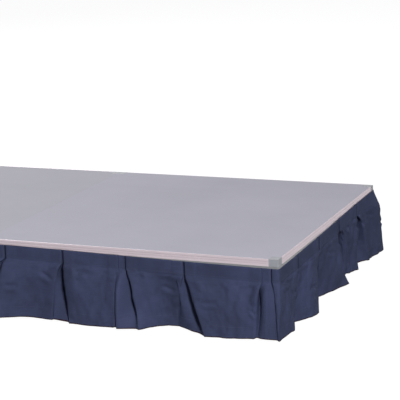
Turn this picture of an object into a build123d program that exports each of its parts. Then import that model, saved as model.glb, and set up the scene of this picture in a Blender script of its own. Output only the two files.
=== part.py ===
from build123d import *
import os

# A portable stage riser: two square decks coupled side by side on plug-in legs,
# with a pleated skirt round the edge. X is the long way, Y the short way, Z up.
# The origin is on the floor below the middle of the stage, and X = 0 is the joint.

# Overall sizes
module_size = 1219.2
stage_height = 304.8
joint_gap = 0.6

# Deck panel
surface_thickness = 3.0
core_thickness = 18.0
deck_clearance = 0.3

# Edge rail
rail_depth = 26.0
rail_wall = 2.5
recess_wall = 2.8
lip_thickness = 3.0
band_height = 27.0
groove_radius = 1.2
groove_drops = (8.5, 17.5)
edge_radius = 0.8

# Loop tape in the rail's recess
tape_height = 50.0
tape_thickness = 1.3
tape_recess = 1.8
tape_margin = 1.5

# Corner casting
post_size = 38.0
post_radius = 3.0
spigot_length = 40.0
spigot_clearance = 0.25
socket_wall = 5.2
socket_depth = 112.0
socket_roof = 9.8
socket_clearance = 0.3
rail_to_socket = 1.5
under_deck_clearance = 0.2
web_width = 16.0

# Leg, levelling foot and clamp screw
leg_radius = 19.0
leg_wall = 3.0
insert_height = 22.0
foot_height = 16.0
foot_radius = 29.0
foot_rim = 6.0
neck_radius = 15.0
stem_radius = 7.0
stem_length = 50.0
thread_clearance = 0.05
clamp_drop = 88.0
clamp_stud_radius = 5.0
clamp_tip_gap = 0.1
boss_radius = 12.0
boss_length = 10.5
hub_gap = 0.5
hub_radius = 9.0
hub_length = 14.0
handle_radius = 4.5
handle_length = 60.0
handle_ball_radius = 6.5
hub_chamfer = 1.5

# Cross beam under the deck
beam_offset = 203.2
beam_height = 50.0
beam_width = 40.0
beam_flange = 18.0
beam_sheet = 3.0
end_plate = 4.0

# Fasteners
bolt_radius = 3.0
bolt_head_radius = 5.5
bolt_head_height = 4.0
bolt_length = 14.0
hole_clearance = 0.1
screw_radius = 2.25
screw_head_radius = 4.5
screw_head_height = 2.4
screw_length = 17.0
screw_pitch = 400.0

# Coupler between the two decks
coupler_y = 350.0
coupler_drop = 24.0
coupler_plate = 4.0
coupler_base_length = 60.0
coupler_base_width = 22.0
coupler_bolt_pitch = 44.0
ear_width = 20.0
ear_thickness = 6.0
pivot_radius = 6.0
pivot_clearance = 0.05
stud_radius = 5.0
stud_head_extra = 3.5
mouth_clearance = 0.4
lever_thickness = 8.0
lever_clearance = 0.3
lever_hub_radius = 11.0
hook_nose = 7.0
hook_rise = 7.0
grip_length = 80.0
grip_height = 12.0
grip_knob_radius = 9.0

# Skirt, drawn here as plain flared panels
skirt_drop = 33.0
skirt_header = 52.0
skirt_thickness = 3.0
skirt_flare = 45.0
skirt_floor_gap = 4.0

# Worked out from the sizes above
deck_depth = surface_thickness + core_thickness
rail_height = band_height + tape_height + 2 * tape_margin
rail_bottom = stage_height - rail_height
deck_underside = stage_height - deck_depth
core_top = stage_height - surface_thickness
half_x = module_size + joint_gap / 2
half_y = module_size / 2
module_x = (module_size + joint_gap) / 2
rail_length = module_size - 2 * post_size
cavity_near = tape_recess + recess_wall
cavity_far = rail_depth - rail_wall
cavity_top = deck_depth + rail_wall
cavity_bottom = rail_height - rail_wall
cavity_middle = (cavity_near + cavity_far) / 2
spigot_bolt = post_size + spigot_length / 2
bore_radius = leg_radius + socket_clearance
socket_radius = bore_radius + socket_wall
socket_inset = rail_depth + rail_to_socket + socket_radius
boss_reach = socket_radius + boss_length
socket_top = deck_underside - under_deck_clearance
socket_bottom = stage_height - socket_depth
leg_top = socket_top - socket_roof
clamp_z = stage_height - clamp_drop
hole_radius = bolt_radius + hole_clearance
screw_hole_radius = screw_radius + hole_clearance
beam_middle = deck_depth + beam_height / 2
flange_middle = (beam_width + beam_flange) / 2
coupler_x = joint_gap / 2 + rail_depth / 2
coupler_z = rail_bottom - coupler_drop
hook_reach = 2 * coupler_x
skirt_top = stage_height - skirt_drop
up = Vector(0, 0, 1)

sides = {"left": -1, "right": 1}
corners = {
    "front_outer": (-1, 1),
    "front_inner": (-1, -1),
    "back_outer": (1, 1),
    "back_inner": (1, -1),
}

os.makedirs("parts", exist_ok=True)


def save(piece, label):
    piece.part.label = label
    export_step(piece.part, f"parts/{label}.step")


def corner_place(side, row, outer):
    """The corner point of a deck, and the signs that point out of the deck there."""
    out_x = side * outer
    x = side * half_x if outer > 0 else side * joint_gap / 2
    return x, row * half_y, out_x, row


def socket_centre(side, row, outer):
    x, y, out_x, out_y = corner_place(side, row, outer)
    return x - out_x * socket_inset, y - out_y * socket_inset


def clamp_plane(side, row, outer):
    """Plane square to the clamp screw, on the leg's axis and facing into the deck."""
    x, y = socket_centre(side, row, outer)
    out_x, out_y = side * outer, row
    return Plane(origin=(x, y, clamp_z), x_dir=(out_y, -out_x, 0), z_dir=(-out_x, -out_y, 0))


def make_deck_layer(label, side, bottom, thickness, pilot_holes):
    inner_edge = joint_gap / 2
    outer_edge = half_x - lip_thickness - deck_clearance
    width = outer_edge - inner_edge
    depth = 2 * (half_y - lip_thickness - deck_clearance)
    notch = 2 * (post_size + deck_clearance)
    notch_places = [(side * x, y) for x in (inner_edge, half_x) for y in (-half_y, half_y)]
    with BuildPart() as layer:
        with BuildSketch(Plane.XY.offset(bottom)):
            with Locations((side * (inner_edge + outer_edge) / 2, 0)):
                Rectangle(width, depth)
            with Locations(*notch_places):
                Rectangle(notch, notch, mode=Mode.SUBTRACT)
        extrude(amount=thickness)
        if pilot_holes:
            with BuildSketch(Plane.XY.offset(bottom)):
                with Locations(*screw_places(side)):
                    Circle(screw_hole_radius)
            extrude(amount=screw_length - beam_sheet, mode=Mode.SUBTRACT)
    save(layer, label)


def beam_places(side):
    return [side * module_x - beam_offset, side * module_x + beam_offset]


def flange_screws(x):
    """Screw places on both flanges of the beam at x."""
    return [(x + e * flange_middle, row * screw_pitch) for e in (-1, 1) for row in (-1, 0, 1)]


def screw_places(side):
    return [place for x in beam_places(side) for place in flange_screws(x)]


def make_rail(label, face_middle, inward, lipped, wall_holes, floor_holes):
    """One frame rail. face_middle is the middle of its outer face at deck level."""
    along = inward.cross(up)
    with BuildPart() as rail:
        with BuildSketch(Plane(origin=face_middle, x_dir=inward, z_dir=along)):
            with BuildLine():
                if lipped:
                    Polyline(
                        (0, 0),
                        (lip_thickness, 0),
                        (lip_thickness, -deck_depth),
                        (rail_depth, -deck_depth),
                        (rail_depth, -rail_height),
                        (tape_recess, -rail_height),
                        (tape_recess, -band_height),
                        (0, -band_height),
                        close=True,
                    )
                else:
                    Polyline(
                        (0, -deck_depth),
                        (rail_depth, -deck_depth),
                        (rail_depth, -rail_height),
                        (0, -rail_height),
                        close=True,
                    )
            profile = make_face()
            if lipped:
                fillet(profile.vertices().group_by(Axis.Y)[-1], radius=edge_radius)
                with Locations(*[(0, -drop) for drop in groove_drops]):
                    Circle(groove_radius, mode=Mode.SUBTRACT)
            with Locations((cavity_middle, -(cavity_top + cavity_bottom) / 2)):
                Rectangle(cavity_far - cavity_near, cavity_bottom - cavity_top, mode=Mode.SUBTRACT)
        extrude(amount=rail_length / 2, both=True)
        with BuildSketch(Plane(origin=face_middle - up * rail_height, x_dir=along, z_dir=up)):
            with Locations(*floor_holes):
                Circle(hole_radius)
        extrude(amount=rail_wall, mode=Mode.SUBTRACT)
        if wall_holes:
            inner_face = face_middle + inward * rail_depth - up * beam_middle
            with BuildSketch(Plane(origin=inner_face, x_dir=along, z_dir=inward)):
                with Locations(*wall_holes):
                    Circle(hole_radius)
            extrude(amount=-rail_wall, mode=Mode.SUBTRACT)
    save(rail, label)


def make_casting(label, side, row, outer):
    """Corner post with a spigot for each rail, the leg's socket and the clamp's boss."""
    x, y, out_x, out_y = corner_place(side, row, outer)
    socket_x, socket_y = socket_centre(side, row, outer)
    post_middle = (x - out_x * post_size / 2, y - out_y * post_size / 2)
    spigot_width = cavity_far - cavity_near - 2 * spigot_clearance
    spigot_height = cavity_bottom - cavity_top - 2 * spigot_clearance
    spigot_z = stage_height - (cavity_top + cavity_bottom) / 2
    reach = post_size + spigot_length / 2
    web_length = (socket_inset - post_size / 2) * 2**0.5
    web_middle = [(a + b) / 2 for a, b in zip(post_middle, (socket_x, socket_y))]
    recess_height = rail_height - band_height
    recess_z = rail_bottom + recess_height / 2
    clamp = clamp_plane(side, row, outer)
    with BuildPart() as casting:
        with Locations((*post_middle, stage_height - rail_height / 2)):
            Box(post_size, post_size, rail_height)
        if outer > 0:
            edge = casting.edges().filter_by(Axis.Z).sort_by_distance(Vector(x, y, recess_z))[0]
            fillet(edge, radius=post_radius)
        fillet(casting.faces().sort_by(Axis.Z)[-1].edges(), radius=edge_radius)
        with Locations((post_middle[0], y, recess_z)):
            Box(post_size, 2 * tape_recess, recess_height, mode=Mode.SUBTRACT)
        if outer > 0:
            with Locations((x, post_middle[1], recess_z)):
                Box(2 * tape_recess, post_size, recess_height, mode=Mode.SUBTRACT)
        with Locations((x - out_x * reach, y - out_y * cavity_middle, spigot_z)):
            Box(spigot_length, spigot_width, spigot_height)
        with Locations((x - out_x * cavity_middle, y - out_y * reach, spigot_z)):
            Box(spigot_width, spigot_length, spigot_height)
        with BuildSketch(Plane.XY.offset(rail_bottom)):
            with Locations(tuple(web_middle)):
                Rectangle(web_length, web_width, rotation=45 * out_x * out_y)
        extrude(amount=socket_top - rail_bottom)
        with BuildSketch(Plane.XY.offset(socket_bottom)):
            with Locations((socket_x, socket_y)):
                Circle(socket_radius)
        extrude(amount=socket_top - socket_bottom)
        with BuildSketch(clamp):
            Circle(boss_radius)
        extrude(amount=boss_reach)
        with BuildSketch(Plane.XY.offset(socket_bottom)):
            with Locations((socket_x, socket_y)):
                Circle(bore_radius)
        extrude(amount=leg_top - socket_bottom, mode=Mode.SUBTRACT)
        with BuildSketch(clamp):
            Circle(clamp_stud_radius + thread_clearance)
        extrude(amount=boss_reach, mode=Mode.SUBTRACT)
        with BuildSketch(Plane.XY.offset(rail_bottom)):
            with Locations(
                (x - out_x * spigot_bolt, y - out_y * cavity_middle),
                (x - out_x * cavity_middle, y - out_y * spigot_bolt),
            ):
                Circle(hole_radius)
        extrude(amount=bolt_length + hole_clearance, mode=Mode.SUBTRACT)
    save(casting, label)


def make_leg(label, x, y):
    with BuildPart() as leg:
        with BuildSketch(Plane.XY.offset(foot_height)):
            with Locations((x, y)):
                Circle(leg_radius)
        extrude(amount=leg_top - foot_height)
        with BuildSketch(Plane.XY.offset(foot_height + insert_height)):
            with Locations((x, y)):
                Circle(leg_radius - leg_wall)
        extrude(amount=leg_top - foot_height - insert_height, mode=Mode.SUBTRACT)
        with BuildSketch(Plane.XY.offset(foot_height)):
            with Locations((x, y)):
                Circle(stem_radius + thread_clearance)
        extrude(amount=insert_height, mode=Mode.SUBTRACT)
    save(leg, label)


def make_foot(label, x, y):
    with BuildPart() as foot:
        with BuildSketch(Plane(origin=(x, y, 0), x_dir=(1, 0, 0), z_dir=(0, -1, 0))):
            with BuildLine():
                Polyline(
                    (0, 0),
                    (foot_radius, 0),
                    (foot_radius, foot_rim),
                    (neck_radius, foot_height),
                    (stem_radius, foot_height),
                    (stem_radius, foot_height + stem_length),
                    (0, foot_height + stem_length),
                    close=True,
                )
            make_face()
        revolve(axis=Axis((x, y, 0), (0, 0, 1)))
    save(foot, label)


def make_clamp(label, side, row, outer):
    """Clamp screw: a stud whose tip bears on the leg, and a T handle."""
    plane = clamp_plane(side, row, outer)
    tip = leg_radius + clamp_tip_gap
    hub_start = boss_reach + hub_gap
    handle_middle = plane.offset(hub_start + hub_length / 2)
    ends = [handle_middle.from_local_coords((e * handle_length / 2, 0, 0)) for e in (-1, 1)]
    with BuildPart() as clamp:
        with BuildSketch(plane.offset(tip)):
            Circle(clamp_stud_radius)
        extrude(amount=hub_start - tip)
        with BuildSketch(plane.offset(hub_start)):
            Circle(hub_radius)
        extrude(amount=hub_length)
        rims = clamp.edges().filter_by(GeomType.CIRCLE).sort_by(Axis(plane.origin, plane.z_dir))
        chamfer(rims[-1], hub_chamfer)
        with BuildSketch(Plane(origin=handle_middle.origin, z_dir=plane.x_dir)):
            Circle(handle_radius)
        extrude(amount=handle_length / 2, both=True)
        with Locations(*ends):
            Sphere(handle_ball_radius)
    save(clamp, label)


def make_beam(label, x):
    """Top-hat beam with a bolted plate at each end."""
    half_web = beam_width / 2
    half_hat = half_web + beam_flange
    length = module_size - 2 * rail_depth
    with BuildPart() as beam:
        with BuildSketch(Plane(origin=(x, 0, deck_underside), x_dir=(1, 0, 0), z_dir=(0, -1, 0))):
            with BuildLine():
                Polyline(
                    (-half_hat, 0),
                    (-half_web + beam_sheet, 0),
                    (-half_web + beam_sheet, beam_sheet - beam_height),
                    (half_web - beam_sheet, beam_sheet - beam_height),
                    (half_web - beam_sheet, 0),
                    (half_hat, 0),
                    (half_hat, -beam_sheet),
                    (half_web, -beam_sheet),
                    (half_web, -beam_height),
                    (-half_web, -beam_height),
                    (-half_web, -beam_sheet),
                    (-half_hat, -beam_sheet),
                    close=True,
                )
            make_face()
        extrude(amount=length / 2, both=True)
        plate_z = deck_underside - beam_height / 2
        plate_y = (length - end_plate) / 2
        with Locations((x, -plate_y, plate_z), (x, plate_y, plate_z)):
            Box(2 * half_hat, end_plate, beam_height)
        with BuildSketch(Plane(origin=(x, 0, plate_z), x_dir=(1, 0, 0), z_dir=(0, -1, 0))):
            with Locations((-flange_middle, 0), (flange_middle, 0)):
                Circle(hole_radius)
        extrude(amount=length / 2, both=True, mode=Mode.SUBTRACT)
        with BuildSketch(Plane.XY.offset(deck_underside)):
            with Locations(*flange_screws(x)):
                Circle(screw_hole_radius)
        extrude(amount=-beam_sheet, mode=Mode.SUBTRACT)
    save(beam, label)


def make_skirt(label, face_middle, outward, half_length):
    """One side of the skirt: a flat header, then a flare down to the hem, mitred at both ends."""
    along = outward.cross(up)
    inner = tape_thickness - tape_recess
    outer = inner + skirt_thickness
    fold = skirt_top - skirt_header
    with BuildPart() as skirt:
        with BuildSketch(Plane(origin=face_middle, x_dir=outward, z_dir=along)):
            with BuildLine():
                Polyline(
                    (inner, skirt_top),
                    (outer, skirt_top),
                    (outer, fold),
                    (skirt_flare, skirt_floor_gap),
                    (skirt_flare - skirt_thickness, skirt_floor_gap),
                    (inner, fold),
                    close=True,
                )
            make_face()
        extrude(amount=half_length + 2 * skirt_flare, both=True)
        for end in (-1, 1):
            corner = face_middle + along * (end * half_length)
            split(bisect_by=Plane(origin=corner, z_dir=along * end - outward), keep=Keep.BOTTOM)
    save(skirt, label)


def make_coupler_mounts(label, side, pin_radius):
    """Plates bolted below the joint rail, each with an ear and the pin that it carries."""
    x = side * coupler_x
    ear_near = lever_thickness / 2 + lever_clearance
    ear_far = ear_near + ear_thickness
    ear_bottom = coupler_z - ear_width / 2
    with BuildPart() as mounts:
        for y in (-coupler_y, coupler_y):
            with Locations((x, y, rail_bottom - coupler_plate / 2)):
                Box(coupler_base_width, coupler_base_length, coupler_plate)
            with Locations((x, y + (ear_near + ear_far) / 2, (rail_bottom + ear_bottom) / 2)):
                Box(ear_width, ear_thickness, rail_bottom - ear_bottom)
            with BuildSketch(Plane(origin=(x, y + ear_near, coupler_z), z_dir=(0, -1, 0))):
                Circle(pin_radius)
            extrude(amount=2 * ear_near + stud_head_extra)
            with BuildSketch(Plane(origin=(x, y - ear_near, coupler_z), z_dir=(0, -1, 0))):
                Circle(pin_radius + stud_head_extra)
            extrude(amount=stud_head_extra)
        with BuildSketch(Plane.XY.offset(rail_bottom)):
            with Locations(*[(x, y) for _, y in coupler_bolt_places(side)]):
                Circle(hole_radius)
        extrude(amount=-coupler_plate, mode=Mode.SUBTRACT)
    save(mounts, label)


def coupler_bolt_places(side):
    rows = [y + e * coupler_bolt_pitch / 2 for y in (-coupler_y, coupler_y) for e in (-1, 1)]
    return [(side * coupler_x, y) for y in rows]


def make_lever(label, y):
    """Hook and grip in one plate. The grip's weight holds the hook up against its stud."""
    mouth = stud_radius + mouth_clearance
    arm_length = hook_reach + mouth + hook_nose
    with BuildPart() as lever:
        with BuildSketch(Plane(origin=(-coupler_x, y, coupler_z), x_dir=(1, 0, 0), z_dir=(0, -1, 0))):
            Circle(lever_hub_radius)
            with Locations((arm_length / 2, (hook_rise - lever_hub_radius) / 2)):
                Rectangle(arm_length, hook_rise + lever_hub_radius)
            with Locations((-grip_length / 2, 0)):
                Rectangle(grip_length, grip_height)
            with Locations((-grip_length, 0)):
                Circle(grip_knob_radius)
            with BuildSketch(mode=Mode.PRIVATE) as mouth_cut:
                Circle(hook_reach + mouth)
                Circle(hook_reach - mouth, mode=Mode.SUBTRACT)
                with Locations((hook_reach, hook_rise)):
                    Rectangle(4 * mouth, 2 * hook_rise, mode=Mode.INTERSECT)
                with Locations((hook_reach, 0)):
                    Circle(mouth)
            add(mouth_cut.sketch, mode=Mode.SUBTRACT)
            Circle(pivot_radius + pivot_clearance, mode=Mode.SUBTRACT)
        extrude(amount=lever_thickness / 2, both=True)
    save(lever, label)


# Decks, rails, beams and corners of both modules
for side_name, side in sides.items():
    make_deck_layer(f"{side_name}_deck_surface", side, core_top, surface_thickness, pilot_holes=False)
    make_deck_layer(f"{side_name}_deck_core", side, deck_underside, core_thickness, pilot_holes=True)
    for number, x in enumerate(beam_places(side), 1):
        make_beam(f"{side_name}_beam_{number}", x)

    end_holes = [(e * (rail_length - spigot_length) / 2, cavity_middle) for e in (-1, 1)]
    beam_holes = [(b * beam_offset + e * flange_middle, 0) for b in (-1, 1) for e in (-1, 1)]
    coupler_holes = [(y, rail_depth / 2) for _, y in coupler_bolt_places(side)]
    middle = Vector(side * module_x, 0, stage_height)
    for row_name, row in (("front", -1), ("back", 1)):
        face = middle + Vector(0, row * half_y, 0)
        make_rail(f"{side_name}_rail_{row_name}", face, Vector(0, -row, 0), True, beam_holes, end_holes)
    end_face = Vector(side * half_x, 0, stage_height)
    make_rail(f"{side_name}_rail_end", end_face, Vector(-side, 0, 0), True, [], end_holes)
    joint_face = Vector(side * joint_gap / 2, 0, stage_height)
    joint_holes = end_holes + coupler_holes
    make_rail(f"{side_name}_rail_joint", joint_face, Vector(side, 0, 0), False, [], joint_holes)

    for corner_name, (row, outer) in corners.items():
        x, y = socket_centre(side, row, outer)
        make_casting(f"{side_name}_casting_{corner_name}", side, row, outer)
        make_leg(f"{side_name}_leg_{corner_name}", x, y)
        make_foot(f"{side_name}_foot_{corner_name}", x, y)
        make_clamp(f"{side_name}_clamp_{corner_name}", side, row, outer)

# Coupler: pivots on the left deck, studs on the right deck, and a hook lever for each pair
make_coupler_mounts("coupler_pivots", -1, pivot_radius)
make_coupler_mounts("coupler_studs", 1, stud_radius)
make_lever("coupler_lever_front", -coupler_y)
make_lever("coupler_lever_back", coupler_y)

# Skirt, one panel for each side
make_skirt("skirt_front", Vector(0, -half_y, 0), Vector(0, -1, 0), half_x)
make_skirt("skirt_back", Vector(0, half_y, 0), Vector(0, 1, 0), half_x)
make_skirt("skirt_left", Vector(-half_x, 0, 0), Vector(-1, 0, 0), half_y)
make_skirt("skirt_right", Vector(half_x, 0, 0), Vector(1, 0, 0), half_y)

# Loop tape: one strip along each side, in the recess of the rails and posts
tape_z = stage_height - band_height - tape_margin - tape_height / 2
tape_line = tape_recess - tape_thickness / 2
with BuildPart() as loop_tape:
    with Locations((0, tape_line - half_y, tape_z), (0, half_y - tape_line, tape_z)):
        Box(2 * (half_x - tape_recess), tape_thickness, tape_height)
    with Locations((tape_line - half_x, 0, tape_z), (half_x - tape_line, 0, tape_z)):
        Box(tape_thickness, 2 * (half_y - tape_recess), tape_height)
save(loop_tape, "loop_tape")

# Hexagon bolts: rails to castings, beams to rails, and the coupler's plates
with BuildPart() as bolt:
    with BuildSketch():
        RegularPolygon(bolt_head_radius, 6)
    extrude(amount=bolt_head_height)
    with BuildSketch():
        Circle(bolt_radius)
    extrude(amount=-bolt_length)

bolt_planes = []
for side in sides.values():
    for row, outer in corners.values():
        x, y, out_x, out_y = corner_place(side, row, outer)
        for reach_x, reach_y in ((spigot_bolt, cavity_middle), (cavity_middle, spigot_bolt)):
            spot = (x - out_x * reach_x, y - out_y * reach_y, rail_bottom)
            bolt_planes.append(Plane(origin=spot, z_dir=(0, 0, -1)))
    for x in beam_places(side):
        for e in (-1, 1):
            for row in (-1, 1):
                plate_face = row * (half_y - rail_depth - end_plate)
                spot = (x + e * flange_middle, plate_face, stage_height - beam_middle)
                bolt_planes.append(Plane(origin=spot, z_dir=(0, -row, 0)))
    for x, y in coupler_bolt_places(side):
        bolt_planes.append(Plane(origin=(x, y, rail_bottom - coupler_plate), z_dir=(0, 0, -1)))
with BuildPart() as frame_bolts:
    with Locations(*[plane.location for plane in bolt_planes]):
        add(bolt.part)
save(frame_bolts, "frame_bolts")

# Deck screws, driven up through the beams' flanges
with BuildPart() as screw:
    with BuildSketch():
        Circle(screw_head_radius)
    extrude(amount=-screw_head_height)
    with BuildSketch():
        Circle(screw_radius)
    extrude(amount=screw_length)
screw_spots = [place for side in sides.values() for place in screw_places(side)]
with BuildPart() as deck_screws:
    with Locations(*[(x, y, deck_underside - beam_sheet) for x, y in screw_spots]):
        add(screw.part)
save(deck_screws, "deck_screws")
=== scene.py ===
import math
from collections import namedtuple

import bpy
import numpy as np
from mathutils import Matrix, Vector


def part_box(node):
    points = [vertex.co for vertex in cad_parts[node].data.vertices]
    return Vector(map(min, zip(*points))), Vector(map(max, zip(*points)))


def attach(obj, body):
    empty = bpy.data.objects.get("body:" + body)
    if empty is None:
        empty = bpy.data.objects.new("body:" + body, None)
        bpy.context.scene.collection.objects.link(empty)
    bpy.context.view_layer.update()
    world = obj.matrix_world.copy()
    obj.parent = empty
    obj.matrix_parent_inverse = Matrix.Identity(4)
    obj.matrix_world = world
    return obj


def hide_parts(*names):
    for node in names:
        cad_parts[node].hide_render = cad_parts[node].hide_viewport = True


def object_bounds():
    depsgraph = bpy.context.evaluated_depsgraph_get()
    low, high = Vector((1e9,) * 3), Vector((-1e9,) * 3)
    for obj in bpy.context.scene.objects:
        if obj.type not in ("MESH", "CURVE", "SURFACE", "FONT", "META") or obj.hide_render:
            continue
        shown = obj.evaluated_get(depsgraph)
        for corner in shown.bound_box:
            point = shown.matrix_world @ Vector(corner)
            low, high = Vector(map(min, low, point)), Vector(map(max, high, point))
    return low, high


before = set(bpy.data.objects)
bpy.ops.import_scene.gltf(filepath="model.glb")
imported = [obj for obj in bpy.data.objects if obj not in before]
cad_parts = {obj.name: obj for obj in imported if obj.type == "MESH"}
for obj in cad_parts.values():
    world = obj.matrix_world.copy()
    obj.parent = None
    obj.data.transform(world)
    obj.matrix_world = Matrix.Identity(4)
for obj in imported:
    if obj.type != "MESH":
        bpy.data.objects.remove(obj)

# A skirted stage riser of two square decks. Metres, X the long way, Z up, and the front faces -Y.
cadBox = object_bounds()
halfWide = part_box("right_rail_end")[1].x
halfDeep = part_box("right_rail_back")[1].y
deckTop = cadBox[1].z
wide, deep = 2 * halfWide, 2 * halfDeep
scene = bpy.context.scene


# camera, lights and floor
view = {
    "eye": (2.990, -5.410, 1.769),
    "yaw": 23.31,
    "pitch": 13.53,
    "roll": -2.41,
    "lens": 132.3,
}

studio = {
    "worldLight": 0.12,
    "keyPlace": (4.9, -6.4, 4.5),
    "keySize": 1.2,
    "keyPower": 690.0,
    "fillPlace": (-4.5, 5.2, 5.2),
    "fillSize": 2.0,
    "fillPower": 370.0,
    "floorSize": 60.0,
    "floorTone": (0.12, 0.12, 0.13, 1.0),
    "floorGlow": 0.95,
}


def setCamera():
    camera = bpy.data.objects.new("viewCamera", bpy.data.cameras.new("viewCamera"))
    camera.data.lens = view["lens"]
    turn = Matrix.Rotation(math.radians(view["yaw"]), 4, "Z")
    tilt = Matrix.Rotation(math.radians(90 - view["pitch"]), 4, "X")
    lean = Matrix.Rotation(math.radians(view["roll"]), 4, "Z")
    camera.matrix_world = Matrix.Translation(view["eye"]) @ turn @ tilt @ lean
    scene.collection.objects.link(camera)
    scene.camera = camera


def addLamp(name, place, size, power):
    lamp = bpy.data.objects.new(name, bpy.data.lights.new(name, "AREA"))
    lamp.data.size = size
    lamp.data.energy = power
    lamp.location = place
    lamp.rotation_euler = (Vector((0, 0, 0.2)) - lamp.location).to_track_quat("-Z", "Y").to_euler()
    scene.collection.objects.link(lamp)


def addNode(tree, kind, settings=None, inputs=None):
    node = tree.nodes.new(kind)
    for name, value in (settings or {}).items():
        setattr(node, name, value)
    for name, value in (inputs or {}).items():
        if isinstance(value, bpy.types.NodeSocket):
            tree.links.new(value, node.inputs[name])
        else:
            node.inputs[name].default_value = value
    return node


def mathNode(tree, operation, first, second=0.0, third=0.0):
    node = addNode(tree, "ShaderNodeMath", {"operation": operation})
    for index, value in enumerate((first, second, third)):
        if isinstance(value, bpy.types.NodeSocket):
            tree.links.new(value, node.inputs[index])
        else:
            node.inputs[index].default_value = value
    return node.outputs[0]


def seenDirect(tree):
    path = tree.nodes.new("ShaderNodeLightPath")
    glossy = mathNode(tree, "MAXIMUM", path.outputs["Is Glossy Ray"], path.outputs["Is Transmission Ray"])
    return mathNode(tree, "MAXIMUM", path.outputs["Is Camera Ray"], glossy)


def setWorld():
    world = bpy.data.worlds.new("studioWorld")
    world.use_nodes = True
    tree = world.node_tree
    back = tree.nodes["Background"]
    back.inputs["Color"].default_value = (1, 1, 1, 1)
    level = studio["worldLight"]
    strength = mathNode(tree, "MULTIPLY_ADD", seenDirect(tree), 1 - level, level)
    tree.links.new(strength, back.inputs["Strength"])
    scene.world = world


def setFloor():
    half = studio["floorSize"] / 2
    mesh = bpy.data.meshes.new("studioFloor")
    corners = [(-half, -half, 0), (half, -half, 0), (half, half, 0), (-half, half, 0)]
    mesh.from_pydata(corners, [], [(0, 1, 2, 3)])
    floor = bpy.data.objects.new("studioFloor", mesh)
    material = bpy.data.materials.new("studioFloor")
    material.use_nodes = True
    tree = material.node_tree
    shader = tree.nodes["Principled BSDF"]
    shader.inputs["Base Color"].default_value = studio["floorTone"]
    shader.inputs["Roughness"].default_value = 0.9
    shader.inputs["Specular IOR Level"].default_value = 0.0
    shader.inputs["Emission Color"].default_value = (1, 1, 1, 1)
    glow = mathNode(tree, "MULTIPLY", seenDirect(tree), studio["floorGlow"])
    tree.links.new(glow, shader.inputs["Emission Strength"])
    mesh.materials.append(material)
    scene.collection.objects.link(floor)


scene.view_settings.view_transform = "Standard"
setCamera()
setWorld()
setFloor()
addLamp("keyLamp", studio["keyPlace"], studio["keySize"], studio["keyPower"])
addLamp("fillLamp", studio["fillPlace"], studio["fillSize"], studio["fillPower"])
print("camera, lights and floor are set")


# shader groups
floatSocket, vectorSocket = "NodeSocketFloat", "NodeSocketVector"


def makeGroup(name, inputs, outputs):
    group = bpy.data.node_groups.new(name, "ShaderNodeTree")
    for label, kind, value in inputs:
        socket = group.interface.new_socket(name=label, in_out="INPUT", socket_type=kind)
        if value is not None:
            socket.default_value = value
    for label, kind in outputs:
        group.interface.new_socket(name=label, in_out="OUTPUT", socket_type=kind)
    return group, group.nodes.new("NodeGroupInput").outputs, group.nodes.new("NodeGroupOutput").inputs


def mapRange(tree, value, low, high, toLow=0.0, toHigh=1.0):
    inputs = {"Value": value, "From Min": low, "From Max": high, "To Min": toLow, "To Max": toHigh}
    return addNode(tree, "ShaderNodeMapRange", None, inputs).outputs["Result"]


def mixColour(tree, factor, first, second, blend="MIX"):
    node = addNode(tree, "ShaderNodeMix", {"data_type": "RGBA", "blend_type": blend})
    for index, value in ((0, factor), (6, first), (7, second)):
        if isinstance(value, bpy.types.NodeSocket):
            tree.links.new(value, node.inputs[index])
        else:
            node.inputs[index].default_value = value
    return node.outputs[2]


def makeGrainGroup():
    group, into, out = makeGroup(
        "fineGrain",
        [("Vector", vectorSocket, None), ("Size", floatSocket, 900.0), ("Mottle Size", floatSocket, 4.0)],
        [("Height", floatSocket), ("Mottle", floatSocket)],
    )
    cells = addNode(group, "ShaderNodeTexVoronoi", {"feature": "SMOOTH_F1"},
                    {"Vector": into["Vector"], "Scale": into["Size"], "Smoothness": 0.6})
    cloud = addNode(group, "ShaderNodeTexNoise", None,
                    {"Vector": into["Vector"], "Scale": into["Mottle Size"], "Detail": 4.0,
                     "Roughness": 0.55})
    group.links.new(mapRange(group, cells.outputs["Distance"], 0.0, 0.8), out["Height"])
    group.links.new(mapRange(group, cloud.outputs["Fac"], 0.3, 0.7), out["Mottle"])
    return group


def makeStreakGroup():
    group, into, out = makeGroup(
        "drawnStreaks",
        [("Vector", vectorSocket, None), ("Stretch", vectorSocket, (1.0, 400.0, 400.0))],
        [("Streak", floatSocket), ("Broad", floatSocket)],
    )
    fine = addNode(group, "ShaderNodeVectorMath", {"operation": "MULTIPLY"})
    group.links.new(into["Vector"], fine.inputs[0])
    group.links.new(into["Stretch"], fine.inputs[1])
    broad = addNode(group, "ShaderNodeVectorMath", {"operation": "SCALE"}, {"Scale": 0.12})
    group.links.new(fine.outputs["Vector"], broad.inputs[0])
    for source, label in ((fine, "Streak"), (broad, "Broad")):
        noise = addNode(group, "ShaderNodeTexNoise", None,
                        {"Vector": source.outputs["Vector"], "Scale": 1.0, "Detail": 3.0, "Roughness": 0.6})
        group.links.new(mapRange(group, noise.outputs["Fac"], 0.3, 0.7), out[label])
    return group


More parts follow.
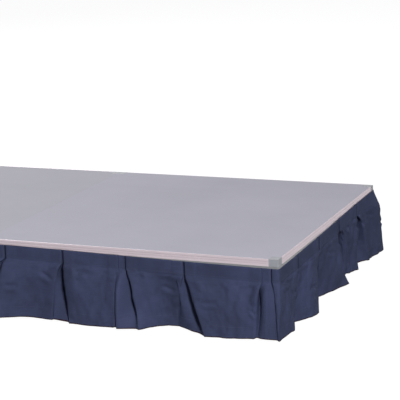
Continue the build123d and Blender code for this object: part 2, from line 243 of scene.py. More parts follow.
def makeScuffGroup():
    group, into, out = makeGroup(
        "scuffMarks",
        [("Vector", vectorSocket, None), ("Size", floatSocket, 14.0), ("Amount", floatSocket, 0.4)],
        [("Mask", floatSocket)],
    )
    bend = addNode(group, "ShaderNodeTexNoise", None,
                   {"Vector": into["Vector"], "Scale": into["Size"], "Detail": 2.0, "Distortion": 1.5})
    line = addNode(group, "ShaderNodeTexNoise", None,
                   {"Vector": bend.outputs["Color"], "Scale": 9.0, "Detail": 5.0, "Roughness": 0.7})
    patch = addNode(group, "ShaderNodeTexNoise", None,
                    {"Vector": into["Vector"], "Scale": 3.1, "Detail": 2.0})
    fromLine = mathNode(group, "ABSOLUTE", mathNode(group, "SUBTRACT", line.outputs["Fac"], 0.5))
    thin = mapRange(group, fromLine, 0.0, 0.02, 1.0, 0.0)
    where = mapRange(group, patch.outputs["Fac"], 0.52, 0.66)
    mask = mathNode(group, "MULTIPLY", mathNode(group, "MULTIPLY", thin, where), into["Amount"])
    group.links.new(mask, out["Mask"])
    return group


def makeDustGroup():
    group, into, out = makeGroup(
        "settledDust",
        [("Vector", vectorSocket, None), ("Up", floatSocket, 0.0), ("Amount", floatSocket, 0.3)],
        [("Mask", floatSocket)],
    )
    cloud = addNode(group, "ShaderNodeTexNoise", None,
                    {"Vector": into["Vector"], "Scale": 7.0, "Detail": 6.0, "Roughness": 0.65})
    lying = mapRange(group, into["Up"], 0.2, 0.95)
    mask = mathNode(group, "MULTIPLY", mapRange(group, cloud.outputs["Fac"], 0.35, 0.75), lying)
    group.links.new(mathNode(group, "MULTIPLY", mask, into["Amount"]), out["Mask"])
    return group


def makeTwillGroup():
    group, into, out = makeGroup(
        "twillWeave",
        [("Vector", vectorSocket, None), ("Pitch", floatSocket, 0.0016), ("Slub", floatSocket, 0.5)],
        [("Height", floatSocket), ("Tint", floatSocket), ("Cloud", floatSocket)],
    )
    split = addNode(group, "ShaderNodeSeparateXYZ", None, {"Vector": into["Vector"]})
    across, along = split.outputs["X"], split.outputs["Y"]
    turns = mathNode(group, "DIVIDE", 2 * math.pi, into["Pitch"])
    slant = mathNode(group, "MULTIPLY", mathNode(group, "ADD", across, along), turns)
    counter = mathNode(group, "MULTIPLY", mathNode(group, "SUBTRACT", across, along), turns)
    rib = mathNode(group, "SINE", slant)
    yarn = mathNode(group, "SINE", counter)
    ribs = mathNode(group, "MULTIPLY_ADD", yarn, 0.25, rib)
    stretch = addNode(group, "ShaderNodeVectorMath", {"operation": "MULTIPLY"})
    group.links.new(into["Vector"], stretch.inputs[0])
    stretch.inputs[1].default_value = (14.0, 420.0, 1.0)
    slub = addNode(group, "ShaderNodeTexNoise", None,
                   {"Vector": stretch.outputs["Vector"], "Scale": 1.0, "Detail": 3.0})
    cloud = addNode(group, "ShaderNodeTexNoise", None,
                    {"Vector": into["Vector"], "Scale": 6.5, "Detail": 5.0, "Roughness": 0.6})
    threads = mapRange(group, slub.outputs["Fac"], 0.3, 0.7)
    group.links.new(mathNode(group, "MULTIPLY_ADD", threads, into["Slub"], ribs), out["Height"])
    group.links.new(threads, out["Tint"])
    group.links.new(mapRange(group, cloud.outputs["Fac"], 0.3, 0.7), out["Cloud"])
    return group


grainGroup = makeGrainGroup()
streakGroup = makeStreakGroup()
scuffGroup = makeScuffGroup()
dustGroup = makeDustGroup()
twillGroup = makeTwillGroup()


# materials
def tone(red, green, blue):
    shares = [v / 255 for v in (red, green, blue)]
    linear = [v / 12.92 if v <= 0.04 else ((v + 0.055) / 1.055) ** 2.4 for v in shares]
    return (*linear, 1.0)


def newMaterial(name, roughness=0.5, metallic=0.0):
    material = bpy.data.materials.new(name)
    material.use_nodes = True
    tree = material.node_tree
    shader = tree.nodes["Principled BSDF"]
    shader.inputs["Roughness"].default_value = roughness
    shader.inputs["Metallic"].default_value = metallic
    place = addNode(tree, "ShaderNodeTexCoord").outputs["Object"]
    return material, tree, shader, place


def useGroup(tree, group, inputs):
    return addNode(tree, "ShaderNodeGroup", {"node_tree": group}, inputs).outputs


def upness(tree):
    normal = addNode(tree, "ShaderNodeNewGeometry").outputs["Normal"]
    return addNode(tree, "ShaderNodeSeparateXYZ", None, {"Vector": normal}).outputs["Z"]


def bumpFrom(tree, shader, height, distance, strength=1.0):
    inputs = {"Height": height, "Distance": distance, "Strength": strength}
    bump = addNode(tree, "ShaderNodeBump", None, inputs)
    tree.links.new(bump.outputs["Normal"], shader.inputs["Normal"])


def paint(tree, shader, colour, roughness=None):
    tree.links.new(colour, shader.inputs["Base Color"])
    if roughness is not None:
        tree.links.new(roughness, shader.inputs["Roughness"])


deckLook = {
    # the two decks get slightly different tones that stand in for their different sheen: painted sheen
    "leftSheenTone": tone(174, 173, 183),
    "rightSheenTone": tone(176, 175, 187),
    "paleShare": 1.05,
    "grainSize": 950.0,
    "grainDepth": 0.00012,
    "streakStretch": (3.0, 90.0, 90.0),
    "roughness": (0.62, 0.68),
    "scuffTone": tone(190, 188, 199),
}


def deckMaterial(name, base):
    material, tree, shader, place = newMaterial(name)
    shader.inputs["Specular IOR Level"].default_value = 0.08
    grain = useGroup(tree, grainGroup, {"Vector": place, "Size": deckLook["grainSize"], "Mottle Size": 2.6})
    streak = useGroup(tree, streakGroup, {"Vector": place, "Stretch": deckLook["streakStretch"]})
    scuff = useGroup(tree, scuffGroup, {"Vector": place, "Size": 6.0, "Amount": 0.30})
    dust = useGroup(tree, dustGroup, {"Vector": place, "Up": upness(tree), "Amount": 0.10})
    pale = [v * deckLook["paleShare"] for v in base[:3]] + [1.0]
    dark = [v / deckLook["paleShare"] for v in base[:3]] + [1.0]
    colour = mixColour(tree, grain["Mottle"], dark, pale)
    colour = mixColour(tree, mathNode(tree, "MULTIPLY", streak["Broad"], 0.25), colour, pale)
    colour = mixColour(tree, scuff["Mask"], colour, deckLook["scuffTone"])
    colour = mixColour(tree, dust["Mask"], colour, deckLook["scuffTone"])
    rough = mapRange(tree, grain["Mottle"], 0.0, 1.0, *deckLook["roughness"])
    paint(tree, shader, colour, rough)
    height = mathNode(tree, "MULTIPLY_ADD", streak["Streak"], 0.35, grain["Height"])
    bumpFrom(tree, shader, height, deckLook["grainDepth"])
    return material


plyLook = {
    "pale": tone(214, 184, 140),
    "dark": tone(176, 138, 92),
    "edgeDark": tone(128, 92, 58),
    "plyCount": 1 / 0.0028,
}


def plywoodMaterial():
    material, tree, shader, place = newMaterial("birchPlywood", 0.55)
    streak = useGroup(tree, streakGroup, {"Vector": place, "Stretch": (4.0, 70.0, 70.0)})
    scuff = useGroup(tree, scuffGroup, {"Vector": place, "Size": 9.0, "Amount": 0.5})
    face = mixColour(tree, streak["Broad"], plyLook["pale"], plyLook["dark"])
    face = mixColour(tree, mathNode(tree, "MULTIPLY", streak["Streak"], 0.35), face, plyLook["dark"])
    height = addNode(tree, "ShaderNodeSeparateXYZ", None, {"Vector": place}).outputs["Z"]
    layer = mathNode(tree, "PINGPONG", mathNode(tree, "MULTIPLY", height, plyLook["plyCount"]), 1.0)
    edge = mixColour(tree, mapRange(tree, layer, 0.45, 0.55), plyLook["pale"], plyLook["edgeDark"])
    flat = mapRange(tree, mathNode(tree, "ABSOLUTE", upness(tree)), 0.4, 0.6)
    colour = mixColour(tree, flat, edge, face)
    colour = mixColour(tree, scuff["Mask"], colour, plyLook["edgeDark"])
    paint(tree, shader, colour, mapRange(tree, streak["Streak"], 0.0, 1.0, 0.48, 0.66))
    bumpFrom(tree, shader, streak["Streak"], 0.00015)
    return material


railLook = {
    "tone": tone(204, 192, 198),
    "dull": tone(184, 172, 178),
    "worn": tone(222, 214, 218),
    "roughness": (0.34, 0.50),
    "brushDepth": 0.00004,
}


def drawnMetal(name, tones, stretch, roughness, depth, metallic=1.0):
    clear, dull, worn = tones
    material, tree, shader, place = newMaterial(name, metallic=metallic)
    streak = useGroup(tree, streakGroup, {"Vector": place, "Stretch": stretch})
    scuff = useGroup(tree, scuffGroup, {"Vector": place, "Size": 11.0, "Amount": 0.7})
    dust = useGroup(tree, dustGroup, {"Vector": place, "Up": upness(tree), "Amount": 0.25})
    colour = mixColour(tree, streak["Broad"], clear, dull)
    colour = mixColour(tree, mathNode(tree, "MULTIPLY", streak["Streak"], 0.35), colour, dull)
    colour = mixColour(tree, scuff["Mask"], colour, worn)
    colour = mixColour(tree, dust["Mask"], colour, dull)
    paint(tree, shader, colour, mapRange(tree, streak["Streak"], 0.0, 1.0, *roughness))
    bumpFrom(tree, shader, streak["Streak"], depth)
    return material


def railMaterial(name, stretch):
    tones = (railLook["tone"], railLook["dull"], railLook["worn"])
    return drawnMetal(name, tones, stretch, railLook["roughness"], railLook["brushDepth"])


def millMaterial(name, stretch):
    tones = (tone(196, 197, 201), tone(168, 170, 175), tone(216, 217, 220))
    return drawnMetal(name, tones, stretch, (0.30, 0.48), 0.00005)


def castMaterial():
    material, tree, shader, place = newMaterial("greyCasting", 0.5)
    grain = useGroup(tree, grainGroup, {"Vector": place, "Size": 620.0, "Mottle Size": 24.0})
    scuff = useGroup(tree, scuffGroup, {"Vector": place, "Size": 30.0, "Amount": 0.8})
    colour = mixColour(tree, grain["Mottle"], tone(145, 147, 154), tone(157, 159, 166))
    colour = mixColour(tree, scuff["Mask"], colour, tone(206, 207, 210))
    paint(tree, shader, colour, mapRange(tree, grain["Mottle"], 0.0, 1.0, 0.42, 0.58))
    bumpFrom(tree, shader, grain["Height"], 0.00022)
    return material


def rubberMaterial():
    material, tree, shader, place = newMaterial("mouldedRubber", 0.7)
    grain = useGroup(tree, grainGroup, {"Vector": place, "Size": 800.0, "Mottle Size": 30.0})
    dust = useGroup(tree, dustGroup, {"Vector": place, "Up": upness(tree), "Amount": 0.6})
    colour = mixColour(tree, grain["Mottle"], tone(34, 34, 35), tone(48, 48, 48))
    colour = mixColour(tree, dust["Mask"], colour, tone(118, 114, 108))
    paint(tree, shader, colour, mapRange(tree, grain["Mottle"], 0.0, 1.0, 0.6, 0.8))
    bumpFrom(tree, shader, grain["Height"], 0.00015)
    return material


def blackMetalMaterial():
    material, tree, shader, place = newMaterial("blackCoat", 0.45)
    grain = useGroup(tree, grainGroup, {"Vector": place, "Size": 1100.0, "Mottle Size": 40.0})
    scuff = useGroup(tree, scuffGroup, {"Vector": place, "Size": 60.0, "Amount": 0.9})
    colour = mixColour(tree, grain["Mottle"], tone(30, 30, 32), tone(44, 44, 46))
    colour = mixColour(tree, scuff["Mask"], colour, tone(150, 150, 152))
    paint(tree, shader, colour, mapRange(tree, grain["Mottle"], 0.0, 1.0, 0.38, 0.52))
    tree.links.new(scuff["Mask"], shader.inputs["Metallic"])
    bumpFrom(tree, shader, grain["Height"], 0.00008)
    return material


def zincMaterial():
    material, tree, shader, place = newMaterial("zincPlate", metallic=1.0)
    spangle = addNode(tree, "ShaderNodeTexVoronoi", None, {"Vector": place, "Scale": 260.0})
    split = addNode(tree, "ShaderNodeSeparateColor", None, {"Color": spangle.outputs["Color"]})
    shade = split.outputs["Red"]
    scuff = useGroup(tree, scuffGroup, {"Vector": place, "Size": 40.0, "Amount": 0.8})
    colour = mixColour(tree, shade, tone(176, 178, 180), tone(204, 205, 204))
    colour = mixColour(tree, scuff["Mask"], colour, tone(132, 130, 126))
    paint(tree, shader, colour, mapRange(tree, shade, 0.0, 1.0, 0.28, 0.46))
    bumpFrom(tree, shader, shade, 0.00003)
    return material


def loopTapeMaterial():
    material, tree, shader, place = newMaterial("loopPile", 0.95)
    shader.inputs["Sheen Weight"].default_value = 0.35
    grain = useGroup(tree, grainGroup, {"Vector": place, "Size": 900.0, "Mottle Size": 18.0})
    colour = mixColour(tree, grain["Mottle"], tone(150, 153, 155), tone(166, 168, 171))
    # the pile is painted darker where its bump is low: painted shade in the hollows between the loops
    colour = mixColour(tree, mathNode(tree, "MULTIPLY", grain["Height"], 0.5), tone(120, 122, 125), colour)
    paint(tree, shader, colour)
    bumpFrom(tree, shader, grain["Height"], 0.0006)
    return material


clothLook = {
    "base": tone(54, 61, 87),
    "pale": tone(68, 76, 108),
    "worn": tone(62, 61, 82),
    # dark maroon along the hem: partly the overlock edge's own colour, partly painted shade on the turned hem
    # edge
    "hemEdgeAndShade": tone(52, 28, 36),
    "weavePitch": 0.0019,
    "weaveDepth": 0.00016,
    "hemEdgeDepth": 0.0042,
}


def clothMaterial():
    material, tree, shader, place = newMaterial("navyTwill", 0.85)
    shader.inputs["Specular IOR Level"].default_value = 0.12
    flat = addNode(tree, "ShaderNodeUVMap", {"uv_map": "cut"}).outputs["UV"]
    weave = useGroup(tree, twillGroup, {"Vector": flat, "Pitch": clothLook["weavePitch"]})
    dust = useGroup(tree, dustGroup, {"Vector": place, "Up": upness(tree), "Amount": 0.2})
    colour = mixColour(tree, weave["Cloud"], clothLook["base"], clothLook["pale"])
    colour = mixColour(tree, mathNode(tree, "MULTIPLY", weave["Tint"], 0.3), colour, clothLook["worn"])
    colour = mixColour(tree, dust["Mask"], colour, clothLook["worn"])
    # the last few millimetres above the hem turn dark maroon: the overlock edge's colour together with
    # painted shade on the turned edge
    drop = addNode(tree, "ShaderNodeSeparateXYZ", None, {"Vector": flat}).outputs["Y"]
    edge = mapRange(tree, drop, clothLook["hemEdgeDepth"] * 0.6, clothLook["hemEdgeDepth"], 1.0, 0.0)
    colour = mixColour(tree, edge, colour, clothLook["hemEdgeAndShade"])
    paint(tree, shader, colour, mapRange(tree, weave["Tint"], 0.0, 1.0, 0.78, 0.92))
    bumpFrom(tree, shader, weave["Height"], clothLook["weaveDepth"])
    return material


def threadMaterial():
    material, tree, shader, place = newMaterial("navyThread", 0.6)
    grain = useGroup(tree, grainGroup, {"Vector": place, "Size": 2400.0, "Mottle Size": 60.0})
    colour = mixColour(tree, grain["Mottle"], tone(46, 50, 74), tone(72, 78, 108))
    paint(tree, shader, colour, mapRange(tree, grain["Height"], 0.0, 1.0, 0.5, 0.7))
    bumpFrom(tree, shader, grain["Height"], 0.0001)
    return material


alongX, alongY, alongZ = (1.5, 900.0, 900.0), (900.0, 1.5, 900.0), (900.0, 900.0, 1.5)
finishes = {
    # each deck's material carries its own painted sheen tone
    "deckLeft": deckMaterial("deckSheetLeft", deckLook["leftSheenTone"]),
    "deckRight": deckMaterial("deckSheetRight", deckLook["rightSheenTone"]),
    "plywood": plywoodMaterial(),
    "railX": railMaterial("railAlongX", alongX),
    "railY": railMaterial("railAlongY", alongY),
    "beam": millMaterial("beamMill", alongY),
    "leg": millMaterial("legMill", alongZ),
    "cast_grey": castMaterial(),
    "foot_rubber": rubberMaterial(),
    "black_metal": blackMetalMaterial(),
    "zinc_steel": zincMaterial(),
    "loop_tape": loopTapeMaterial(),
    "skirt_cloth": clothMaterial(),
    "thread": threadMaterial(),
}


def finishFor(name, slotName):
    if slotName == "deck_grey":
        return finishes["deckLeft" if name.startswith("left") else "deckRight"]
    if slotName == "rail_aluminium":
        return finishes["railX" if name.endswith(("front", "back")) else "railY"]
    if slotName == "mill_aluminium":
        return finishes["beam" if "beam" in name else "leg"]
    return finishes[slotName]


for name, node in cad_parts.items():
    for slotHolder in node.material_slots:
        slotHolder.material = finishFor(name, slotHolder.material.name.split(".")[0])
print("materials are on the frame's pieces")


# skirt
# Places run round the stage anticlockwise, in metres from the front right corner, so the front is
# negative. "left" and "right" are a pleat's fold edges at the hem: place, outward, and how late it opens.
skirt = {
    "underlap": 0.038,
    "layerGap": 0.0011,
    "faceOut": 0.0013,
    "thickness": 0.0008,
    "header": 0.054,
    "hemBand": 0.042,
    "hemHeight": 0.007,
    "ridgeReach": (0.041, 0.047),
    "columnStep": 0.0065,
    "headerRows": 9,
    "bodyRows": 33,
    "softenTurns": 6,
    "crispWidth": 0.018,
    # relief of the hanging cloth: depth, then the size of a swell across and down
    "swells": ((0.0050, 0.075, 0.110), (0.0034, 0.032, 0.060), (0.0015, 0.018, 0.022)),
    "hemRows": 8,
    "cornerReach": 0.060,
    "pitch": 0.254,
    "seed": 11,
    # how far the skirt's top edge lies below the deck, and how much that sways along the stage
    "tapeDrop": 0.028,
    "tapeSway": 0.007,
    # the first pleat from the corner on the front and the right, and the extra one beside the corner
    "firstFront": 0.375,
    "firstRight": 0.200,
    "besideCorner": 0.045,
    # the first pleat on the back and the left, and the pitch on the left
    "firstBack": 0.062,
    "firstLeft": 0.150,
    "leftPitch": 0.262,
    # outward at the hem on the two sides of each corner, from the front right round
    "cornerOut": ((0.04, 0.01), (0.01, 0.02), (0.04, 0.04), (0.04, 0.04)),
    "cornerLate": (1.0, 2.0, 0.7, 0.8),
    "cornerLift": (0.001, 0.026, 0.010, 0.008),
}

hemStep = 0.02   # fold edges and bows are counted in these

# Each pleat's fan: half slit; for the left and right fold edges how many hem steps it opens and stands out,
# and how late; depths and sags of the fold's left, middle and right; how far its middle lies to the right;
# and how many hem steps the next panel bows. They run from the left of the front.
frontFans = (
    (0.0016, (4, 3, 0.8), (-1, 4, 1.0), (0.014, 0.016, 0.014), (0.024, 0.028, 0.024), 0.0, -1),
    (0.0016, (2, 2, 0.8), (2, 3, 2.6), (0.004, 0.006, 0.006), (0.034, 0.050, 0.046), 0.0, 0),
    (0.0135, (1, 3, 0.9), (4, 3, 0.9), (0.001, -0.016, 0.008), (0.006, -0.004, 0.042), -0.03, -1),
    (0.0016, (2, -1, 1.2), (5, 3, 1.5), (0.002, 0.002, 0.006), (0.004, 0.014, 0.036), 0.0, 0),
)
cornerFan = (0.0165, (2, 2, 0.7), (2, 2, 1.0), (0.010, 0.0, 0.004), (0.034, 0.0, 0.006), -0.015, 0)
rightFans = (
    (0.0050, (5, 1, 1.6), (-1, -1, 0.8), (0.016, 0.016, 0.010), (0.022, 0.026, 0.020), 0.0, 1),
    (0.0040, (6, 2, 1.6), (0, -2, 1.0), (0.016, 0.014, 0.008), (0.012, 0.014, 0.014), 0.0, 0),
    (0.0080, (-1, 2, 2.6), (6, -1, 0.5), (0.020, 0.018, 0.010), (0.026, 0.034, 0.030), 0.0, 0),
    (0.0030, (2, 1, 1.5), (5, 1, 0.8), (0.030, 0.034, 0.026), (0.040, 0.052, 0.048), 0.0, 0),
)


def placedFan(place, fan):
    slit, left, right, depth, sag, shift, bow = fan
    leftEdge = (place - left[0] * hemStep, left[1] * hemStep, left[2])
    rightEdge = (place + right[0] * hemStep, right[1] * hemStep, right[2])
    return (place, slit, leftEdge, rightEdge, depth, sag, shift, bow * hemStep)


def shownPleats():
    count = len(frontFans)
    made = [placedFan(frontPlace(count - 1 - k), fan) for k, fan in enumerate(frontFans)]
    made.append(placedFan(-skirt["besideCorner"], cornerFan))
    made += [placedFan(skirt["firstRight"] + skirt["pitch"] * k, fan) for k, fan in enumerate(rightFans)]
    return made


def frontPlace(number):
    return -skirt["firstFront"] - skirt["pitch"] * number


def cornerPlaces():
    return (0.0, deep, deep + wide, 2 * deep + wide)


def sideOf(place):
    return sum(place >= corner for corner in cornerPlaces()[:3])


def onPlan(place, out, hem):
    x, y = halfWide, halfDeep
    starts = ((-x, -y), (x, -y), (x, y), (-x, y))
    along = ((1, 0), (0, 1), (-1, 0), (0, -1))
    outward = ((0, -1), (1, 0), (0, 1), (-1, 0))
    side = sideOf(place)
    corners = (-wide, *cornerPlaces())
    fromStart, toEnd = place - corners[side], corners[side + 1] - place
    point = np.array(starts[side], float) + fromStart * np.array(along[side])
    point += out * np.array(outward[side])
    if hem:
        before, after = skirt["cornerOut"][(side - 1) % 4], skirt["cornerOut"][side]
        for gap, lean, way in ((fromStart, before[0], -1), (toEnd, after[1], 1)):
            share = max(0.0, 1 - gap / skirt["cornerReach"])
            point += way * lean * share * share * (3 - 2 * share) * np.array(along[side])
    return point


def hiddenEdge(dice, place, way, swing):
    at = place + way * dice.uniform(0.008, 0.060) * swing
    out = dice.uniform(0.018, 0.068) * (0.5 + swing / 2)
    return (at, out, dice.uniform(0.6, 1.6))


def hiddenPleats(dice):
    places = [frontPlace(number) for number in (8, 7, 6, 5, 4)]
    places += [deep + skirt["firstBack"] + skirt["pitch"] * k for k in range(10)]
    places += [deep + wide + skirt["firstLeft"] + skirt["leftPitch"] * k for k in range(4)]
    made = []
    for index, place in enumerate(places):
        if index not in (0, 5, 14):
            place += dice.uniform(-0.012, 0.012)
        near = min(abs(place - corner) for corner in (*cornerPlaces(), -wide))
        swing = 0.35 if near < 0.12 else 1.0
        left = hiddenEdge(dice, place, -1, swing)
        right = hiddenEdge(dice, place, 1, swing)
        depth = tuple(dice.uniform(0.010, 0.024) for _ in range(3))
        slit = dice.choice([0.0016, 0.0016, 0.0016, 0.0090])
        sag = tuple(dice.uniform(0.008, 0.022) for _ in range(3))
        made.append((place, slit, left, right, depth, sag, 0.0, None))
    return made


# a vertical line of the cloth: where it starts on the tape, where it ends at the hem, and how it gets there
clothKnot = namedtuple("clothKnot", "place raised hemPlace hemOut late tension kind sag undercut")


def buildSkirtPlan(dice):
    pleats = sorted([*shownPleats(), *hiddenPleats(dice)], key=lambda pleat: pleat[0])
    under, gap, face = skirt["underlap"], skirt["layerGap"], skirt["faceOut"]
    around = 2 * (wide + deep)
    knots = []
    centres = []
    for index, (place, slit, left, right, depth, sag, shift, bow) in enumerate(pleats):
        chord = np.array(right[:2]) - np.array(left[:2])
        length = max(1e-6, float(np.hypot(*chord)))
        way = chord / length
        inward = np.array((way[1], -way[0]))
        middle = (np.array(left[:2]) + np.array(right[:2])) / 2
        lates = (left[2], (left[2] + right[2]) / 2, right[2])
        knots.append(clothKnot(place - slit, face + 2 * gap, *left, 0.3, "edge", 0.0, 0))
        for turn, step in enumerate((-under, 0, under)):
            level, dip = (gap if step else 0), depth[turn]
            late = lates[turn] * (1 + min(1.0, sag[turn] / 0.02))
            spot = middle + way * (step * 0.95 if step else shift) + inward * (dip + level)
            tension = 0.5 if step else 1.0
            undercut = 0 if shift else 0.7 * (turn - 1)
            start = (place + step, face + level)
            knots.append(clothKnot(*start, *spot, late, tension, "fold", sag[turn], undercut))
            if step == 0:
                centres.append(len(knots) - 1)
        knots.append(clothKnot(place + slit, face + 2 * gap, *right, 0.3, "edge", 0.0, 0))
        following = pleats[(index + 1) % len(pleats)]
        nextPlace, nextSlit, nextLeft = following[0], following[1], following[2]
        lap = around if index == len(pleats) - 1 else 0.0
        endHem = (nextLeft[0] + lap, *nextLeft[1:])
        knots += panelKnots(place + slit, right, nextPlace - nextSlit + lap, endHem, bow, dice)
    return knots, centres


def panelKnots(start, startHem, end, endHem, bow, dice):
    face, gap = skirt["faceOut"], skirt["layerGap"]
    corners = [c for c in cornerPlaces() if start < c < end]
    stops = [(start, startHem[0], startHem[1], "pleat")]
    for corner in corners:
        number = min(range(4), key=lambda k: abs(cornerPlaces()[k] - corner))
        outs = skirt["cornerOut"][number]
        stops.append((corner, corner, outs, "corner"))
    stops.append((end, endHem[0], endHem[1], "pleat"))
    made = []
    for (h0, s0, o0, kind0), (h1, s1, o1, kind1) in zip(stops, stops[1:]):
        o0 = o0[1] if kind0 == "corner" else o0
        o1 = o1[0] if kind1 == "corner" else o1
        waves = []
        if bow is not None:
            for share in (0.25, 0.5, 0.75):
                out = o0 + (o1 - o0) * share + bow * math.sin(math.pi * share)
                waves.append((s0 + (s1 - s0) * share, out))
        elif s1 - s0 > 0.10:
            count = 2 if s1 - s0 > 0.16 else 1
            for k in range(count):
                share = (k + 1) / (count + 1) + dice.uniform(-0.06, 0.06)
                waves.append((s0 + (s1 - s0) * share, dice.uniform(0.008, 0.058)))
        line = [(s0, o0), *waves, (s1, o1)]
        far = np.concatenate([[0], np.cumsum([math.dist(a, b) for a, b in zip(line, line[1:])])])
        far /= far[-1]
        places, outs = zip(*line)
        picks = {share: "wave" for share in far[1:-1]}
        for reach in skirt["ridgeReach"]:
            if kind0 == "pleat":
                picks[reach / (h1 - h0)] = "ridge"
            if kind1 == "pleat":
                picks[1 - reach / (h1 - h0)] = "ridge"
        for share in sorted(picks):
            if not 0.02 < share < 0.98:
                continue
            header = h0 + (h1 - h0) * share
            fromLeft = header - h0 if kind0 == "pleat" else 1
            fromRight = h1 - header if kind1 == "pleat" else 1
            close = min(fromLeft, fromRight)
            raised = face + (2 * gap if close < sum(skirt["ridgeReach"]) / 2 else 0)
            place, out = np.interp(share, far, places), np.interp(share, far, outs)
            made.append(clothKnot(header, raised, place, out, 1.0, 1.0, picks[share], 0.0, 0))
        if kind1 == "corner":
            late = skirt["cornerLate"][cornerPlaces().index(h1)]
            made.append(clothKnot(h1, face, s1, o1, late, 0.12, "corner", 0.0, 0))
    return made


def smoothStep(value):
    value = np.clip(value, 0, 1)
    return value * value * (3 - 2 * value)


def softNoise(dice, across, down, cellAcross, cellDown):
    columns, rows = across / cellAcross, down / cellDown
    grid = dice.uniform(-1, 1, (int(rows.max()) + 3, int(columns.max()) + 3))
    c0, r0 = np.floor(columns).astype(int), np.floor(rows).astype(int)
    fc, fr = smoothStep(columns - c0), smoothStep(rows - r0)
    upper = grid[r0, c0] * (1 - fc) + grid[r0, c0 + 1] * fc
    lower = grid[r0 + 1, c0] * (1 - fc) + grid[r0 + 1, c0 + 1] * fc
    return upper * (1 - fr) + lower * fr


def openShare(fall, late):
    early = 0.42 * np.minimum(1, np.exp(0.8 * (1 - late)))
    return early * (1 - np.exp(-fall / 0.14)) ** late + (1 - early) * np.power(fall, 1.05 * late)


def buildSkirtGrid():
    dice = np.random.default_rng(skirt["seed"])
    knots, centres = buildSkirtPlan(dice)
    headerPlace = np.array([k.place for k in knots])
    late = np.array([k.late for k in knots])
    tension = np.array([k.tension for k in knots])
    lap = 2 * (wide + deep)

    def planned(place, out, hem):
        wrapped = (place + wide) % lap - wide
        return onPlan(wrapped, out, hem)

    # a corner's hem spot belongs to the side before it
    early = [1e-9 if k.kind == "corner" else 0 for k in knots]
    top = np.array([planned(k.place, k.raised, False) for k in knots])
    hem = np.array([planned(k.hemPlace - back, k.hemOut, True) for k, back in zip(knots, early)])
    outward = np.array([planned(k.place, 1.0, False) - planned(k.place, 0.0, False) for k in knots])
    undercut = np.array([k.undercut for k in knots])[:, None]
    sideways = np.stack([-outward[:, 1], outward[:, 0]], axis=1) * undercut
    sagged = (outward - sideways) * np.array([k.sag for k in knots])[:, None]
    count = len(knots)
    steps = np.hypot(*(np.roll(top, -1, axis=0) - top).T)
    cut = np.concatenate([[0], np.cumsum(steps)])

    # sample columns: every knot is a column
    cellKnot, cellShare = [], []
    for k in range(count):
        n = max(1, round(steps[k] / skirt["columnStep"]))
        for j in range(n):
            cellKnot.append(k)
            cellShare.append(j / n)
    cellKnot, cellShare = np.array(cellKnot), np.array(cellShare)
    nextKnot = (cellKnot + 1) % count
    cutAt = cut[cellKnot] + cellShare * steps[cellKnot]
    wrap = np.where(nextKnot < cellKnot, lap, 0.0)
    headerAt = headerPlace[cellKnot] * (1 - cellShare) + (headerPlace[nextKnot] + wrap) * cellShare
    kinds = [k.kind for k in knots]
    entering = [kinds[k] == "edge" and kinds[(k + 1) % count] == "fold" for k in range(count)]
    hidden = np.array([kinds[k] == "fold" or entering[k] for k in cellKnot])

    # rows
    headerRows = np.linspace(0, 1, skirt["headerRows"])
    bodyRows = np.linspace(0, 1, skirt["bodyRows"] + 1)[1:] ** 1.25
    hemRows = np.linspace(0, 1, skirt["hemRows"] + 1)[1:]
    wrappedPlace = (headerAt + wide) % lap - wide
    sway = np.cos(2 * math.pi * wrappedPlace / wide)
    topZ = deckTop - skirt["tapeDrop"] - skirt["tapeSway"] * sway
    headZ = topZ - skirt["header"]
    ripple = 0.0016 * np.sin(cutAt * 9.0) + 0.0010 * np.sin(cutAt * 23.0 + 1.0)
    hemZ = skirt["hemHeight"] + ripple + np.where(hidden, 0.0015, 0.0)
    bandZ = hemZ + skirt["hemBand"]
    heights = [topZ + (headZ - topZ) * r for r in headerRows]
    heights += [headZ + (bandZ - headZ) * r for r in bodyRows]
    heights += [bandZ + (hemZ - bandZ) * r for r in hemRows]
    heights = np.array(heights)
    fall = np.clip((headZ - heights) / (headZ - hemZ), 0, 1)

    grid = np.zeros((len(heights), len(cutAt), 3))
    gapBefore, gapAfter = np.roll(steps, 1), steps
    h = steps[cellKnot]
    f = cellShare
    h00 = 2 * f**3 - 3 * f**2 + 1
    h10 = f**3 - 2 * f**2 + f
    h01 = -2 * f**3 + 3 * f**2
    h11 = f**3 - f**2
    for row in range(len(heights)):
        share = float(np.median(fall[row]))
        opened = openShare(share, late)[:, None]
        points = top + (hem - top) * opened - sagged * 4 * share * (1 - share)
        ahead = (np.roll(points, -1, axis=0) - points) / gapAfter[:, None]
        behind = (points - np.roll(points, 1, axis=0)) / gapBefore[:, None]
        slope = (ahead * gapBefore[:, None] + behind * gapAfter[:, None]) / (gapBefore + gapAfter)[:, None]
        slope *= (tension * min(1.0, share * 3))[:, None]
        weight = min(1.0, share * 3)
        a, b = points[cellKnot], points[nextKnot]
        leaving, arriving = (h10 * h)[:, None] * slope[cellKnot], (h11 * h)[:, None] * slope[nextKnot]
        curve = h00[:, None] * a + h01[:, None] * b + leaving + arriving
        straight = a + (b - a) * f[:, None]
        grid[row, :, :2] = straight * (1 - weight) + curve * weight
        grid[row, :, 2] = heights[row]

    # soften more towards the hem, and less beside the corners and the pleats in view
    nearCorner = np.min([np.abs(wrappedPlace - c) for c in (-wide, *cornerPlaces())], axis=0)
    besideCorner = 1 - smoothStep(nearCorner / 0.03 + 0.15)
    held = 1 - besideCorner[None, :] * (0.25 + 0.75 * smoothStep((fall - 0.6) / 0.4))
    for number in range(len(frontFans)):
        beside = (wrappedPlace - frontPlace(number)) / skirt["crispWidth"]
        held = held * (1 - 0.9 * np.exp(-beside ** 2))[None, :]
    for turn in range(skirt["softenTurns"]):
        strength = 0.5 * smoothStep((fall - 0.04 * turn) / 0.5)[:, :, None]
        if turn < 1:
            strength = np.maximum(strength, 0.25)
        average = (np.roll(grid, 1, axis=1) + np.roll(grid, -1, axis=1)) / 2
        strength = strength * held[:, :, None]
        grid[:, :, :2] += (average - grid)[:, :, :2] * strength

